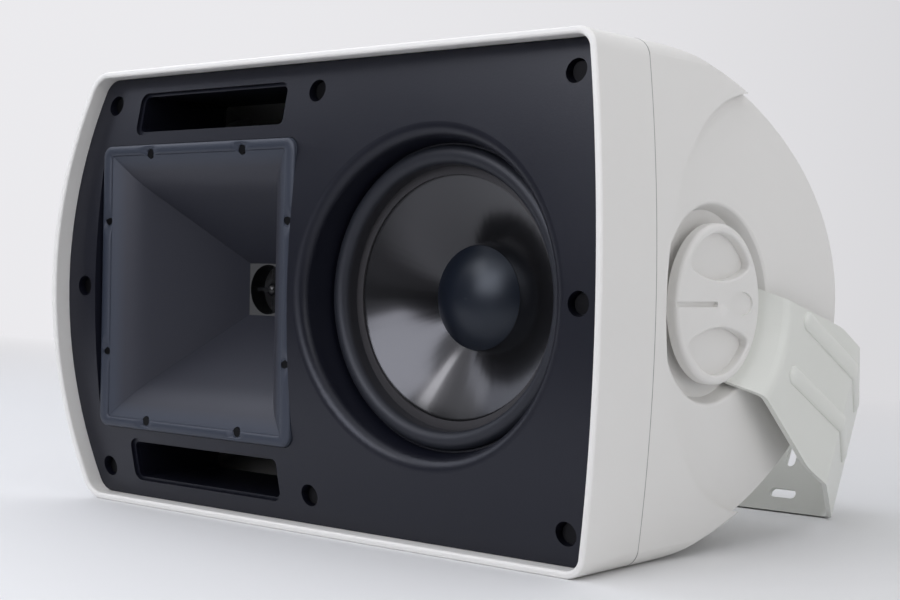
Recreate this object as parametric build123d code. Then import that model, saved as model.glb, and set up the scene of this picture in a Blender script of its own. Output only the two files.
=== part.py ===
from build123d import *
import os
from math import asin, atan2, cos, degrees, hypot, pi, sin, sqrt, tan

# Two-way outdoor speaker lying on its long side, grille off, propped by its tilting bracket.
# Working frame: X along the length, Y to the back from the crown of the baffle, Z up from the middle.
# Every piece is moved at the end so that the floor is Z = 0 and the whole is centred in X and Y.

# Enclosure
case_length = 353.0
case_height = 226.0
end_bow = 16.4
front_bow = 14.8
corner_radius = 12.0
rim_step = 9.0
rim_round = 1.2
seam_depth = 31.0
back_depth = 202.5
end_round = 3.0
corner_ease = 0.1
bezel_wall = 3.3
cabinet_wall = 4.5
lip_wall = 2.2
lip_height = 5.0
fit = 0.3

# Arm recess and clamp dish in each end
recess_depth = 4.5
recess_radius = 97.0
recess_centre = 136.0
dish_radius = 45.5
dish_taper = 4.0
dish_depth = 8.6
dish_round = 1.5
pivot_depth = 88.0
boss_wall = 4.0

# Baffle, its gasket and its screws
baffle_thickness = 4.0
counterbore_radius = 5.3
counterbore_depth = 6.0
counterbore_floor = 2.5
counterbore_wall = 1.3
screw_corner_x = 148.5
screw_row_z = 95.4
screw_side_x = 159.4
screw_head_radius = 4.2
screw_head_height = 2.6
screw_shank_radius = 2.0
screw_length = 14.0
thread_play = 0.1
ledge_width = 8.0
ledge_thickness = 4.0
post_length = 12.0
gasket_width = 6.0

# Horn and its driver
horn_x = -79.0
horn_width = 143.0
horn_height = 147.0
horn_front = 4.5
horn_corner = 6.0
flange_thickness = 4.0
mouth_width = 128.5
mouth_height = 136.0
mouth_lip_depth = 15.0
mouth_lip_run = 7.0
horn_depth = 52.0
throat_square = 27.0
throat_radius = 13.1
throat_length = 10.0
horn_wall = 3.0
tray_wall = 1.5
tray_floor = 3.0
horn_screw_inset = 4.75
horn_screw_pitch = 68.5
horn_screw_radius = 1.3
horn_screw_head = 2.3
horn_screw_head_height = 1.2
horn_screw_sink = 1.4
plug_bullet_radius = 3.4
plug_fin = 2.0
plug_length = 9.0
driver_collar_radius = 30.0
driver_collar_height = 4.0
driver_plate_radius = 38.0
driver_plate_height = 6.0
driver_magnet_radius = 45.0
driver_magnet_bore = 24.0
driver_magnet_height = 15.0
driver_pole_radius = 18.0
driver_pole_exit = 8.0
driver_gap = 1.5
driver_back_height = 5.0
driver_cover_radius = 40.0
driver_cover_height = 16.0
driver_cover_wall = 2.0
diaphragm_radius = 19.0
diaphragm_rim = 7.0
diaphragm_rise = 6.0
diaphragm_gauge = 0.6

# Slot ports
port_x = -74.5
port_z = 89.8
port_width = 105.0
port_height = 18.6
port_corner = 3.0
port_bevel = 1.8
port_wall = 1.6
port_length = 68.0

# Woofer
woofer_x = 74.2
well_lip_radius = 79.0
well_round = 6.0
well_bottom_radius = 69.0
well_wall = 2.5
well_depth = 20.0
well_foot = 3.0
woofer_flange_radius = 77.0
woofer_flange = 3.0
woofer_gasket_height = 1.0
woofer_gasket_width = 4.0
surround_outer = 68.2
surround_roll = 4.4
surround_gauge = 1.0
surround_foot = 4.0
surround_seat = 4.0
cone_drop = 4.4
cone_gauge = 1.2
cone_slope = 0.53
cap_radius = 24.0
cap_rise = 9.0
cap_gauge = 0.8
coil_radius = 16.2
former_gauge = 0.6
former_length = 30.0
winding_gauge = 0.8
winding_height = 10.0
magnet_gap = 0.6
spider_depth = 32.0
spider_outer = 44.0
spider_waves = 3
spider_wave_height = 1.6
spider_gauge = 0.8
spider_seat = 3.5
basket_depth = 38.0
basket_bottom_radius = 48.0
basket_gauge = 2.0
basket_bore = 26.0
basket_windows = 6
basket_window_width = 43.0
basket_window_margin = 4.0
top_plate_height = 6.0
magnet_radius = 50.0
magnet_bore = 25.0
magnet_height = 16.0
yoke_height = 6.0
yoke_radius = 46.0
woofer_screw_count = 8
woofer_screw_circle = 74.0
woofer_screw_radius = 1.6
woofer_screw_head = 2.8
woofer_screw_head_height = 2.0
woofer_screw_bite = 2.0

# Terminal pocket in the back
pocket_width = 80.0
pocket_height = 52.0
pocket_corner = 8.0
pocket_depth = 24.5
pocket_floor = 5.0
pocket_wall = 3.5
window_width = 54.0
window_height = 26.0
plate_width = 72.0
plate_height = 44.0
plate_corner = 4.0
plate_thickness = 3.0
plate_gasket = 1.0
plate_screw_radius = 1.5
plate_screw_head = 3.0
plate_screw_head_height = 2.0
plate_screw_inset = 4.5
plate_screw_bite = 4.0
binding_pitch = 19.05
stem_radius = 2.0
stem_tail = 9.0
collar_radius = 7.0
collar_height = 2.5
nut_radius = 4.5
nut_height = 3.0
cap_body_radius = 6.2
cap_body_length = 13.0
cap_bore_play = 0.3
cap_end = 2.5
cap_flutes = 12
cap_flute_radius = 0.9

# Crossover board
board_width = 84.0
board_height = 56.0
board_thickness = 1.6
board_standoff = 8.0
standoff_radius = 3.2
board_screw_radius = 1.3
board_screw_head = 2.6
board_screw_head_height = 1.6
board_screw_inset = 6.0
board_screw_bite = 5.0
inductor_radius = 13.0
inductor_bore = 6.0
inductor_height = 12.0
inductor_pitch = 34.0
inductor_z = 11.0
capacitor_radius = 6.5
capacitor_length = 20.0
capacitor_pitch = 26.0
capacitor_z = -12.0

# Bracket
sheet = 2.5
washer_thickness = 1.8
seat_play = 0.2
hub_bore = 3.6
cup_foot = 38.5
cup_top = 50.0
cup_rise = 13.6
bend_radius = 6.0
neck_half_width = 24.0
arm_half_width = 36.5
neck_end = 44.0
flare_end = 98.0
arm_crease = 120.0
base_reach = 187.0
base_half_width = 32.0
base_half_span = 154.0
flare_round = 40.0
rib_start = 64.0
rib_end = 46.0
rib_width = 9.0
rib_height = 2.0
rib_upper = 23.5
rib_lower = -4.5
base_bore = 4.2
slot_x = 125.0
slot_offset = 22.0
slot_length = 15.0
slot_width = 5.2
middle_slot_length = 13.0

# Clamp knobs
knob_radius = 35.5
knob_height = 5.5
knob_crown = 0.8
knob_round = 2.2
finger_radius = 31.4
finger_depth = 4.3
finger_corner = 3.0
finger_round = 1.0
bar_half_width = 10.2
bar_arc_radius = 57.0
line_width = 2.4
line_depth = 1.0
line_end = 3.3
oval_centre = 17.8
oval_length = 21.0
oval_width = 11.0
oval_depth = 0.6
stud_radius = 3.0
stud_reach = 13.0
stud_grip = 3.5
insert_radius = 5.0
insert_length = 16.0
washer_radius = 14.0

# Worked out from the values above
margin = 5.0
half_length = case_length / 2
half_height = case_height / 2
end_radius = (half_height**2 + end_bow**2) / (2 * end_bow)
front_radius = (half_height**2 + front_bow**2) / (2 * front_bow)
back_start = seam_depth + front_bow
ledge_front = counterbore_depth + counterbore_floor
boss_radius = counterbore_radius + counterbore_wall
recess_x = half_length - recess_depth
dish_x = recess_x - dish_depth
hub_mid_x = dish_x + washer_thickness + seat_play + sheet / 2
arm_x = hub_mid_x + cup_rise
knob_x = hub_mid_x + sheet / 2 + seat_play
base_mid = base_reach - sheet / 2
tilt = asin(half_height / hypot(base_reach, base_half_width)) - atan2(base_half_width, base_reach)
rear_reach = pivot_depth + base_reach * cos(tilt) + base_half_width * sin(tilt)
tray_depth = horn_front + flange_thickness
driver_y = horn_front + horn_depth + throat_length
woofer_y = well_depth + woofer_gasket_height
cone_y = woofer_y + cone_drop
roll_radius = surround_outer - surround_roll
cone_edge = surround_outer - 2 * surround_roll - surround_seat
basket_y = woofer_y + basket_depth
pocket_floor_depth = back_depth - pocket_depth
board_y = pocket_floor_depth - pocket_floor - board_standoff
plate_y = pocket_floor_depth + plate_gasket
row_places = [(x, z) for x in (-screw_corner_x, 0, screw_corner_x) for z in (-screw_row_z, screw_row_z)]
side_places = [(-screw_side_x, 0), (screw_side_x, 0)]
screw_places = row_places + side_places


def bow(z):
    """Depth of the front curve at a height z."""
    return front_radius - sqrt(front_radius**2 - z**2)


def dome(radius, rise, at):
    """Height of a spherical dome above its base at a distance from its middle."""
    ball = (radius**2 + rise**2) / (2 * rise)
    return rise - ball + sqrt(ball**2 - at**2)


def prism(face, y_from, y_to):
    """Carry a face drawn in the front view along the depth."""
    return extrude(Plane.XZ.offset(-y_from) * face, amount=y_from - y_to)


def side_prism(face, x_from, x_to):
    """Carry a face drawn in the end view along the length."""
    return extrude(Plane.YZ.offset(x_from) * face, amount=x_to - x_from)


def rod(x, z, radius, y_from, y_to):
    """Round bar along the depth."""
    return prism(Pos(x, z) * Circle(radius), y_from, y_to)


def turned(points, x=0.0, z=0.0):
    """Turn a closed profile of (radius, depth) corners about a line along the depth."""
    return Pos(x, 0, z) * revolve(make_face(Polyline(*points, close=True)), Axis.Y)


def tube(bore, radius, y_from, y_to, x):
    """Ring or tube along the depth."""
    return prism(Pos(x, 0) * (Circle(radius) - Circle(bore)), y_from, y_to)


def spun(points):
    """Turn a closed profile of (length, radius) corners about the knob axis."""
    return Pos(0, pivot_depth, 0) * revolve(make_face(Polyline(*points, close=True)), Axis.X)


def pair(piece):
    """A piece of the right-hand end and its mirror image."""
    return piece + mirror(piece, Plane.YZ)


def group(pieces):
    """Like pieces kept as separate solids under one name."""
    return Compound(children=[solid for piece in pieces for solid in piece.solids()])


def sharp_outline(inset):
    """Front view of the case with flat long sides and bowed ends, before its corners are rounded."""
    half = half_height - inset
    radius = end_radius - inset
    centre = half_length - end_radius
    corner = centre + sqrt(radius**2 - half**2)
    edges = [
        Line((-corner, half), (corner, half)),
        ThreePointArc((corner, half), (centre + radius, 0), (corner, -half)),
        Line((corner, -half), (-corner, -half)),
        ThreePointArc((-corner, -half), (-centre - radius, 0), (-corner, half)),
    ]
    return make_face(edges)


def outline(inset):
    """Front view of the case with its corners rounded."""
    return fillet(sharp_outline(inset).vertices(), max(corner_radius - inset, fit))


def bowed_slab(inset, y_front, y_back):
    """Slab with the outline of the case whose two faces follow the bowed front."""
    reach = half_height + margin
    sag = bow(reach)
    edges = [
        ThreePointArc((y_front + sag, -reach), (y_front, 0), (y_front + sag, reach)),
        Line((y_front + sag, reach), (y_back + sag, reach)),
        ThreePointArc((y_back + sag, reach), (y_back, 0), (y_back + sag, -reach)),
        Line((y_back + sag, -reach), (y_front + sag, -reach)),
    ]
    band = side_prism(make_face(edges), -half_length - margin, half_length + margin)
    return band & prism(outline(inset), y_front - margin, y_back + sag + margin)


def back_profile(inset, y_front):
    """End view of the back half: half an ellipse closed by a straight front."""
    half = half_height - inset
    reach = back_depth - back_start - inset
    edges = [
        Line((y_front, half), (y_front, -half)),
        Line((y_front, -half), (back_start, -half)),
        EllipticalCenterArc((back_start, 0), reach, half, start_angle=-90, arc_size=180),
        Line((back_start, half), (y_front, half)),
    ]
    return make_face(edges)


def back_shape(inset, y_front):
    """Solid of the back half, moved in by an inset on every side but the front."""
    body = side_prism(back_profile(inset, y_front), -half_length - margin, half_length + margin)
    return body & prism(outline(inset), y_front - margin, back_depth + margin)


def front_bezel():
    """Ring round the baffle with a screwing ledge and eight posts behind it."""
    ring = bowed_slab(0, -rim_step, seam_depth)
    ring -= bowed_slab(bezel_wall, -rim_step - margin, seam_depth + margin)
    rim = ring.edges().filter_by(lambda e: e.center().Y < bow(e.center().Z) - rim_step / 2)
    ring = fillet(rim, rim_round)
    ledge_back = ledge_front + ledge_thickness
    floor = bowed_slab(bezel_wall / 2, ledge_front, ledge_back)
    ledge = floor - prism(outline(bezel_wall + ledge_width), 0, back_start)
    tabs = Sketch()
    for x, z in row_places:
        tabs += Pos(x, z) * Circle(boss_radius)
        tabs += Pos(x, z + (half_height - abs(z)) / 2 * (1 if z > 0 else -1)) * Rectangle(
            2 * boss_radius, half_height - abs(z))
    for x, z in side_places:
        tabs += Pos(x, z) * Circle(boss_radius)
        tabs += Pos(x + (half_length - abs(x)) / 2 * (1 if x > 0 else -1), z) * Rectangle(
            half_length - abs(x), 2 * boss_radius)
    body = ring + ledge + (floor & prism(tabs, 0, back_start + margin))
    for x, z in screw_places:
        start = bow(z) + ledge_front
        body += rod(x, z, boss_radius, start + ledge_thickness / 2, start + ledge_thickness + post_length)
    for x, z in screw_places:
        end = bow(z) + counterbore_depth + screw_length + margin
        body -= rod(x, z, screw_shank_radius + thread_play, bow(z), end)
    return body


def horn_opening():
    """Front view of the hole behind the flange that the horn's walls pass through."""
    wide = mouth_width - 2 * mouth_lip_run + 2 * horn_wall + 2 * fit
    high = mouth_height - 2 * mouth_lip_run + 2 * horn_wall + 2 * fit
    return Pos(horn_x, 0) * Rectangle(wide, high)


def horn_screw_places():
    """Eight screws, two on each side of the horn's flange."""
    x_edge = horn_width / 2 - horn_screw_inset
    z_edge = horn_height / 2 - horn_screw_inset
    half = horn_screw_pitch / 2
    upright = [(horn_x + sx * x_edge, sz * half) for sx in (-1, 1) for sz in (-1, 1)]
    level = [(horn_x + sx * half, sz * z_edge) for sx in (-1, 1) for sz in (-1, 1)]
    return upright + level


def port_face(grow):
    """Front view of a port slot, grown by a wall."""
    return RectangleRounded(port_width + 2 * grow, port_height + 2 * grow, port_corner + grow)


def front_baffle():
    """Bowed black front with the horn's tray, the woofer's well, two slots and eight counterbores."""
    inset = bezel_wall + fit
    below = bowed_slab(inset, 0, back_depth)
    body = bowed_slab(inset, 0, baffle_thickness)
    tray = Pos(horn_x, 0) * RectangleRounded(
        horn_width + 2 * (fit + tray_wall), horn_height + 2 * (fit + tray_wall), horn_corner + tray_wall)
    body += prism(tray, -margin, tray_depth + tray_floor) & below
    well_top = well_lip_radius - well_round
    body += rod(woofer_x, 0, well_top + well_wall, -margin, well_depth) & below
    body += rod(woofer_x, 0, woofer_flange_radius, well_depth - well_foot, well_depth)
    bosses = Sketch() + [Pos(x, z) * Circle(boss_radius) for x, z in screw_places]
    body += bowed_slab(inset, baffle_thickness / 2, ledge_front) & prism(bosses, -margin, back_start + margin)
    seat = Pos(horn_x, 0) * RectangleRounded(horn_width + 2 * fit, horn_height + 2 * fit, horn_corner + fit)
    body -= prism(seat, -margin, tray_depth)
    body -= prism(horn_opening(), 0, back_depth)
    body -= turned([(0, -margin), (well_top, -margin), (well_top, 0), (well_bottom_radius, well_depth),
                    (well_bottom_radius, well_depth + margin), (0, well_depth + margin)], woofer_x)
    lip = body.edges().filter_by(lambda e: is_on_ring(e, well_top))
    body = fillet(lip, well_round)
    for side in (-1, 1):
        slot = prism(Pos(port_x, side * port_z) * port_face(0), -margin, back_start)
        bevel = prism(Pos(port_x, side * port_z) * port_face(port_bevel), -margin, back_start)
        body -= slot
        body -= bevel & bowed_slab(0, -margin, port_bevel)
    for x, z in screw_places:
        body -= rod(x, z, counterbore_radius, bow(z) - margin, bow(z) + counterbore_depth)
        body -= rod(x, z, screw_shank_radius + thread_play, bow(z), bow(z) + back_start)
    for x, z in horn_screw_places():
        body -= rod(x, z, horn_screw_radius + thread_play, 0, tray_depth + tray_floor + margin)
    for x, z in woofer_screw_places():
        hole = woofer_screw_radius + thread_play
        body -= rod(x, z, hole, well_depth - woofer_screw_bite, well_depth + margin)
    return body


def is_on_ring(edge, radius):
    """True for the edge where the well meets the bowed front."""
    reach = [hypot(p.X - woofer_x, p.Z) for p in edge.positions([0.0, 0.25, 0.5, 0.75])]
    depth = max(p.Y for p in edge.positions([0.0, 0.25, 0.5, 0.75]))
    return max(reach) < radius + fit and min(reach) > radius - well_foot and depth < well_depth / 2


def baffle_gasket():
    """Foam strip squeezed between the baffle and the bezel's ledge, notched round the bosses."""
    edge = bezel_wall + fit
    strip = bowed_slab(edge, baffle_thickness, ledge_front)
    strip -= prism(outline(edge + gasket_width), -margin, back_start + margin)
    bosses = Sketch() + [Pos(x, z) * Circle(boss_radius + fit) for x, z in screw_places]
    return strip - prism(bosses, -margin, back_start + margin)


def pan_screw(x, z, seat, shank, length, head, head_height, facing=1):
    """Screw with a round head on a seat and its shank running on from there along the depth."""
    body = rod(x, z, shank, seat - facing * head_height / 2, seat + facing * length)
    return body + rod(x, z, head, seat - facing * head_height, seat)


def baffle_screws():
    """Eight screws at the bottom of the counterbores."""
    return group([pan_screw(x, z, bow(z) + counterbore_depth, screw_shank_radius, screw_length,
                            screw_head_radius, screw_head_height) for x, z in screw_places])


def back_skin():
    """Outside of the back half: rounded along the rim of each end and cut at the bowed seam."""
    block = side_prism(back_profile(0, seam_depth - margin), -half_length - margin, half_length + margin)
    block &= prism(sharp_outline(0), 0, back_depth + margin)
    rims = block.edges().filter_by(lambda e: abs(e.center().X) > half_length - end_bow - fit
                                   and e.center().Y > seam_depth)
    block = fillet(rims, end_round) & prism(outline(-corner_ease), 0, back_depth + margin)
    return block - bowed_slab(-margin, -back_depth, seam_depth)


def rear_cabinet():
    """Half-elliptical back with bowed ends, arm recesses, clamp dishes and the terminal pocket."""
    body = back_skin() - back_shape(cabinet_wall, 0)
    pocket = prism(pocket_face(pocket_wall), pocket_floor_depth - pocket_floor, back_depth)
    for x, z in board_screw_places():
        pocket += rod(x, z, standoff_radius, board_y, pocket_floor_depth)
    body += pocket & back_shape(cabinet_wall / 2, 0)
    body -= prism(pocket_face(0), pocket_floor_depth, back_depth + margin)
    body -= prism(Rectangle(window_width, window_height), 0, back_depth)
    for x, z in board_screw_places():
        hole = board_screw_radius + thread_play
        body -= rod(x, z, hole, board_y - margin, board_y + board_screw_bite + fit)
    for x, z in plate_screw_places():
        hole = plate_screw_radius + thread_play
        body -= rod(x, z, hole, pocket_floor_depth - plate_screw_bite - fit, back_depth)
    lip = bowed_slab(bezel_wall + fit, seam_depth - lip_height, seam_depth + lip_height)
    lip -= prism(outline(bezel_wall + fit + lip_wall), 0, back_depth)
    body += lip
    body += pair(end_pads())
    body -= pair(end_cuts())
    return fillet(body.edges().filter_by(is_dish_rim), dish_round)


def is_dish_rim(edge):
    """True for an edge where a clamp dish meets the arm recess."""
    spots = edge.positions([0.0, 0.25, 0.5, 0.75])
    reach = [hypot(p.Y - pivot_depth, p.Z) for p in spots]
    outside = min(abs(p.X) for p in spots) > dish_x + dish_depth / 2
    return outside and min(reach) > dish_radius - dish_taper / 2 and max(reach) < dish_radius + fit


def end_pads():
    """Wall kept behind the recess and the dish, and the boss that holds the threaded insert."""
    disc = spun([(0, 0), (0, recess_radius + cabinet_wall), (half_length, recess_radius + cabinet_wall),
                 (half_length, 0)])
    disc = Pos(0, recess_centre - pivot_depth, 0) * disc
    ahead = prism(outline(recess_depth + cabinet_wall), -margin, back_depth + margin)
    pad = (disc & back_shape(cabinet_wall / 2, 0)) - ahead
    inner = dish_x - cabinet_wall
    pad += spun([(inner, 0), (inner, dish_radius), (recess_x, dish_radius + cabinet_wall), (recess_x, 0)])
    boss = insert_radius + boss_wall
    pad += spun([(dish_x - insert_length - cabinet_wall, 0), (dish_x - insert_length - cabinet_wall, boss),
                 (dish_x, boss), (dish_x, 0)])
    return pad


def end_cuts():
    """What is taken off one end: the arm recess, the tapered dish and the hole for the insert."""
    past = half_length + margin
    disc = spun([(0, 0), (0, recess_radius), (past, recess_radius), (past, 0)])
    disc = Pos(0, recess_centre - pivot_depth, 0) * disc
    cut = disc - prism(outline(recess_depth), -margin, back_depth + 2 * recess_radius)
    cut += spun([(dish_x, 0), (dish_x, dish_radius - dish_taper), (recess_x, dish_radius),
                 (past, dish_radius), (past, 0)])
    bore = insert_radius + thread_play
    cut += spun([(dish_x - insert_length, 0), (dish_x - insert_length, bore), (dish_x + margin, bore),
                 (dish_x + margin, 0)])
    return cut


def pocket_face(grow):
    """Front view of the terminal pocket, grown by a wall."""
    return RectangleRounded(pocket_width + 2 * grow, pocket_height + 2 * grow, pocket_corner + grow)


def corner_places(width, height, inset):
    """Four corners of a rectangle moved in by an inset."""
    return [(sx * (width / 2 - inset), sz * (height / 2 - inset)) for sx in (-1, 1) for sz in (-1, 1)]


def board_screw_places():
    """Corners of the crossover board."""
    return corner_places(board_width, board_height, board_screw_inset)


def plate_screw_places():
    """Corners of the terminal plate."""
    return corner_places(plate_width, plate_height, plate_screw_inset)


def horn_half_sizes(depth):
    """Half width and half height of the horn's inside at a depth behind its face."""
    share = 1 - depth / horn_depth
    curl = mouth_lip_run * max(0.0, 1 - depth / mouth_lip_depth) ** 3
    wide = throat_square / 2 + share * (mouth_width / 2 - mouth_lip_run - throat_square / 2) + curl
    high = throat_square / 2 + share * (mouth_height / 2 - mouth_lip_run - throat_square / 2) + curl
    return wide, high


def horn_section(depth, grow):
    """Rectangle across the horn at a depth, grown by a wall."""
    wide, high = horn_half_sizes(depth)
    plane = Plane.XZ.offset(-horn_front - depth)
    return plane * (Pos(horn_x, 0) * Rectangle(2 * (wide + grow), 2 * (high + grow)))


def horn():
    """Square horn: flat screwed flange, curled mouth, four flat walls and a round throat in a square end."""
    flange = Pos(horn_x, 0) * RectangleRounded(horn_width, horn_height, horn_corner)
    back = horn_front + horn_depth
    body = prism(flange, horn_front, tray_depth)
    rim = body.edges().group_by(Axis.Y)[0]
    body = fillet(rim, fit * 3)
    body += loft([horn_section(depth, horn_wall) for depth in (
        flange_thickness / 2, flange_thickness, mouth_lip_depth, horn_depth)], ruled=True)
    end = Pos(horn_x, 0) * Rectangle(throat_square + 2 * horn_wall, throat_square + 2 * horn_wall)
    body += prism(end, back - horn_wall, back + horn_wall)
    body += rod(horn_x, 0, throat_radius + horn_wall, back, driver_y)
    body += rod(horn_x, 0, driver_collar_radius, driver_y - driver_collar_height, driver_y)
    body -= loft([horn_section(mouth_lip_depth * k / 5, 0) for k in range(6)])
    body -= loft([horn_section(mouth_lip_depth, 0), horn_section(horn_depth, 0)], ruled=True)
    body -= rod(horn_x, 0, throat_radius, back - margin, driver_y + margin)
    for x, z in horn_screw_places():
        body -= rod(x, z, horn_screw_radius + thread_play, horn_front, tray_depth + margin)
        body -= rod(x, z, horn_screw_head + fit, horn_front - margin, horn_front + horn_screw_sink)
    return body


def horn_screws():
    """Eight small screws sunk in the horn's flange."""
    seat = horn_front + horn_screw_sink
    length = flange_thickness + tray_floor - horn_screw_sink
    return group([pan_screw(x, z, seat, horn_screw_radius, length, horn_screw_head, horn_screw_head_height)
                  for x, z in horn_screw_places()])


def phase_plug():
    """Cross of four fins round a rounded middle, standing in the throat."""
    reach = throat_radius - fit
    radius = plug_bullet_radius
    tip = driver_y - plug_length
    fins = Rectangle(2 * reach, plug_fin) + Rectangle(plug_fin, 2 * reach)
    body = prism(Pos(horn_x, 0) * (fins & Circle(reach)), tip + radius, driver_y)
    middle = (radius * sin(pi / 4), tip + radius * (1 - cos(pi / 4)))
    edges = [
        ThreePointArc((0, tip), middle, (radius, tip + radius)),
        Line((radius, tip + radius), (radius, driver_y)),
        Line((radius, driver_y), (0, driver_y)),
        Line((0, driver_y), (0, tip)),
    ]
    return body + Pos(horn_x, 0, 0) * revolve(make_face(edges), Axis.Y)


def driver_parts():
    """Horn driver from front to back: plate, magnet, bored pole, back plate, diaphragm and cover."""
    y1 = driver_y + driver_plate_height
    y2 = y1 + driver_magnet_height
    y3 = y2 + driver_back_height
    bore = driver_pole_radius + driver_gap
    rim = diaphragm_radius + diaphragm_rim
    dome_y = y3 + diaphragm_gauge
    half = diaphragm_radius / 2
    height = dome(diaphragm_radius, diaphragm_rise, half)
    arc = ThreePointArc((0, dome_y + diaphragm_rise), (half, dome_y + height), (diaphragm_radius, dome_y))
    skin = ThreePointArc((0, y3 + diaphragm_rise), (half, y3 + height), (diaphragm_radius, y3))
    film = make_face([arc, Line((diaphragm_radius, dome_y), (rim, dome_y)), Line((rim, dome_y), (rim, y3)),
                      Line((rim, y3), (diaphragm_radius, y3)), skin,
                      Line((0, y3 + diaphragm_rise), (0, dome_y + diaphragm_rise))])
    cover_y = y3 + driver_cover_height
    inner = driver_cover_radius - driver_cover_wall
    return {
        "driver_front_plate": tube(throat_radius, driver_plate_radius, driver_y, y1, horn_x),
        "driver_magnet": tube(driver_magnet_bore, driver_magnet_radius, y1, y2, horn_x),
        "driver_pole": turned([(throat_radius, y1), (driver_pole_radius, y1), (driver_pole_radius, y3 - fit),
                               (driver_pole_exit, y3 - fit)], horn_x),
        "driver_back_plate": tube(bore, driver_magnet_radius - driver_cover_wall, y2, y3, horn_x),
        "driver_diaphragm": Pos(horn_x, 0, 0) * revolve(film, Axis.Y),
        "driver_cover": turned([(driver_cover_radius, y3), (driver_cover_radius, cover_y), (0, cover_y),
                                (0, cover_y - driver_cover_wall), (inner, cover_y - driver_cover_wall),
                                (inner, y3)], horn_x),
    }


def port_duct(side):
    """Slot duct glued behind the baffle, its front end cut to the bowed back face."""
    walls = Pos(port_x, side * port_z) * (port_face(port_wall) - port_face(0))
    duct = prism(walls, 0, port_length)
    return duct - bowed_slab(0, -rim_step - back_start, baffle_thickness + fit / 3)


def woofer_screw_places():
    """Screws on a circle round the woofer's flange."""
    turns = [2 * pi * (k + 0.5) / woofer_screw_count for k in range(woofer_screw_count)]
    return [(woofer_x + woofer_screw_circle * cos(a), woofer_screw_circle * sin(a)) for a in turns]


def cone_depth(radius):
    """Depth of the cone's front face at a radius."""
    return cone_y + (cone_edge - radius) * cone_slope


def woofer_surround():
    """Half-roll of rubber with a flat foot on the frame and a lower seat on the cone's rim."""
    top = woofer_y - surround_gauge
    seat = cone_y - surround_gauge
    outer = surround_outer
    inner = roll_radius - surround_roll
    gauge = surround_gauge
    small = surround_roll - gauge
    edges = [
        Line((outer + surround_foot, woofer_y), (outer + surround_foot, top)),
        Line((outer + surround_foot, top), (outer, top)),
        ThreePointArc((outer, top), (roll_radius, top - surround_roll), (inner, top)),
        Line((inner, top), (inner, seat)),
        Line((inner, seat), (cone_edge, seat)),
        Line((cone_edge, seat), (cone_edge, cone_y)),
        Line((cone_edge, cone_y), (roll_radius - small, cone_y)),
        Line((roll_radius - small, cone_y), (roll_radius - small, top)),
        ThreePointArc((roll_radius - small, top), (roll_radius, top - small), (roll_radius + small, top)),
        Line((roll_radius + small, top), (roll_radius + small, woofer_y)),
        Line((roll_radius + small, woofer_y), (outer + surround_foot, woofer_y)),
    ]
    return Pos(woofer_x, 0, 0) * revolve(make_face(edges), Axis.Y)


def woofer_cone():
    """Straight-sided cone with a flat rim under the surround and a neck on the coil former."""
    rim = cone_edge + surround_seat
    neck = coil_radius + thread_play
    front = [(rim, cone_y), (cone_edge, cone_y), (neck, cone_depth(neck))]
    back = [(r, y + cone_gauge) for r, y in reversed(front)]
    return turned(front + back, woofer_x)


def woofer_dust_cap():
    """Spherical cap glued on the cone over the coil."""
    base = cone_depth(cap_radius) - thread_play
    small = cap_radius - cap_gauge
    rise = cap_rise - cap_gauge
    half = cap_radius / 2
    bulge = dome(cap_radius, cap_rise, half)
    edges = [
        ThreePointArc((0, base - cap_rise), (half, base - bulge), (cap_radius, base)),
        Line((cap_radius, base), (small, base)),
        ThreePointArc((small, base), (small / 2, base - dome(small, rise, small / 2)), (0, base - rise)),
        Line((0, base - rise), (0, base - cap_rise)),
    ]
    return Pos(woofer_x, 0, 0) * revolve(make_face(edges), Axis.Y)


def woofer_spider():
    """Ring with triangular waves from the coil former to the frame's ledge."""
    y = woofer_y + spider_depth
    inner = coil_radius + thread_play
    start = inner + spider_seat
    pitch = (spider_outer - spider_seat - start) / (2 * spider_waves)
    folds = range(2 * spider_waves + 1)
    waves = [(start + k * pitch, y - spider_wave_height * (k % 2)) for k in folds]
    front = [(inner, y)] + waves + [(spider_outer, y)]
    back = [(r, d + spider_gauge) for r, d in reversed(front)]
    return turned(front + back, woofer_x)


def woofer_frame():
    """Pressed basket: flange, sloping wall with windows, spider ledge and bottom ring."""
    y = woofer_y
    flange_back = y + woofer_flange
    ledge = y + spider_depth + spider_gauge
    inner = surround_outer - surround_gauge
    seat = spider_outer - spider_seat
    g = basket_gauge
    low = basket_y - g
    body = turned([
        (inner, y), (woofer_flange_radius, y), (woofer_flange_radius, flange_back), (inner + g, flange_back),
        (basket_bottom_radius, ledge + g), (basket_bottom_radius, basket_y), (basket_bore, basket_y),
        (basket_bore, low), (seat, low), (seat, ledge), (basket_bottom_radius - g, ledge),
        (inner, flange_back),
    ], woofer_x)
    top = flange_back + basket_window_margin
    bottom = ledge - basket_window_margin
    window = Pos((inner + basket_bottom_radius) / 2, 0) * Rectangle(inner, basket_window_width)
    for k in range(basket_windows):
        face = Rot(0, 0, 360 * k / basket_windows) * window
        body -= prism(Pos(woofer_x, 0) * face, top, bottom)
    for x, z in woofer_screw_places():
        body -= rod(x, z, woofer_screw_radius + thread_play, y - margin, flange_back + margin)
    return body


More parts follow.
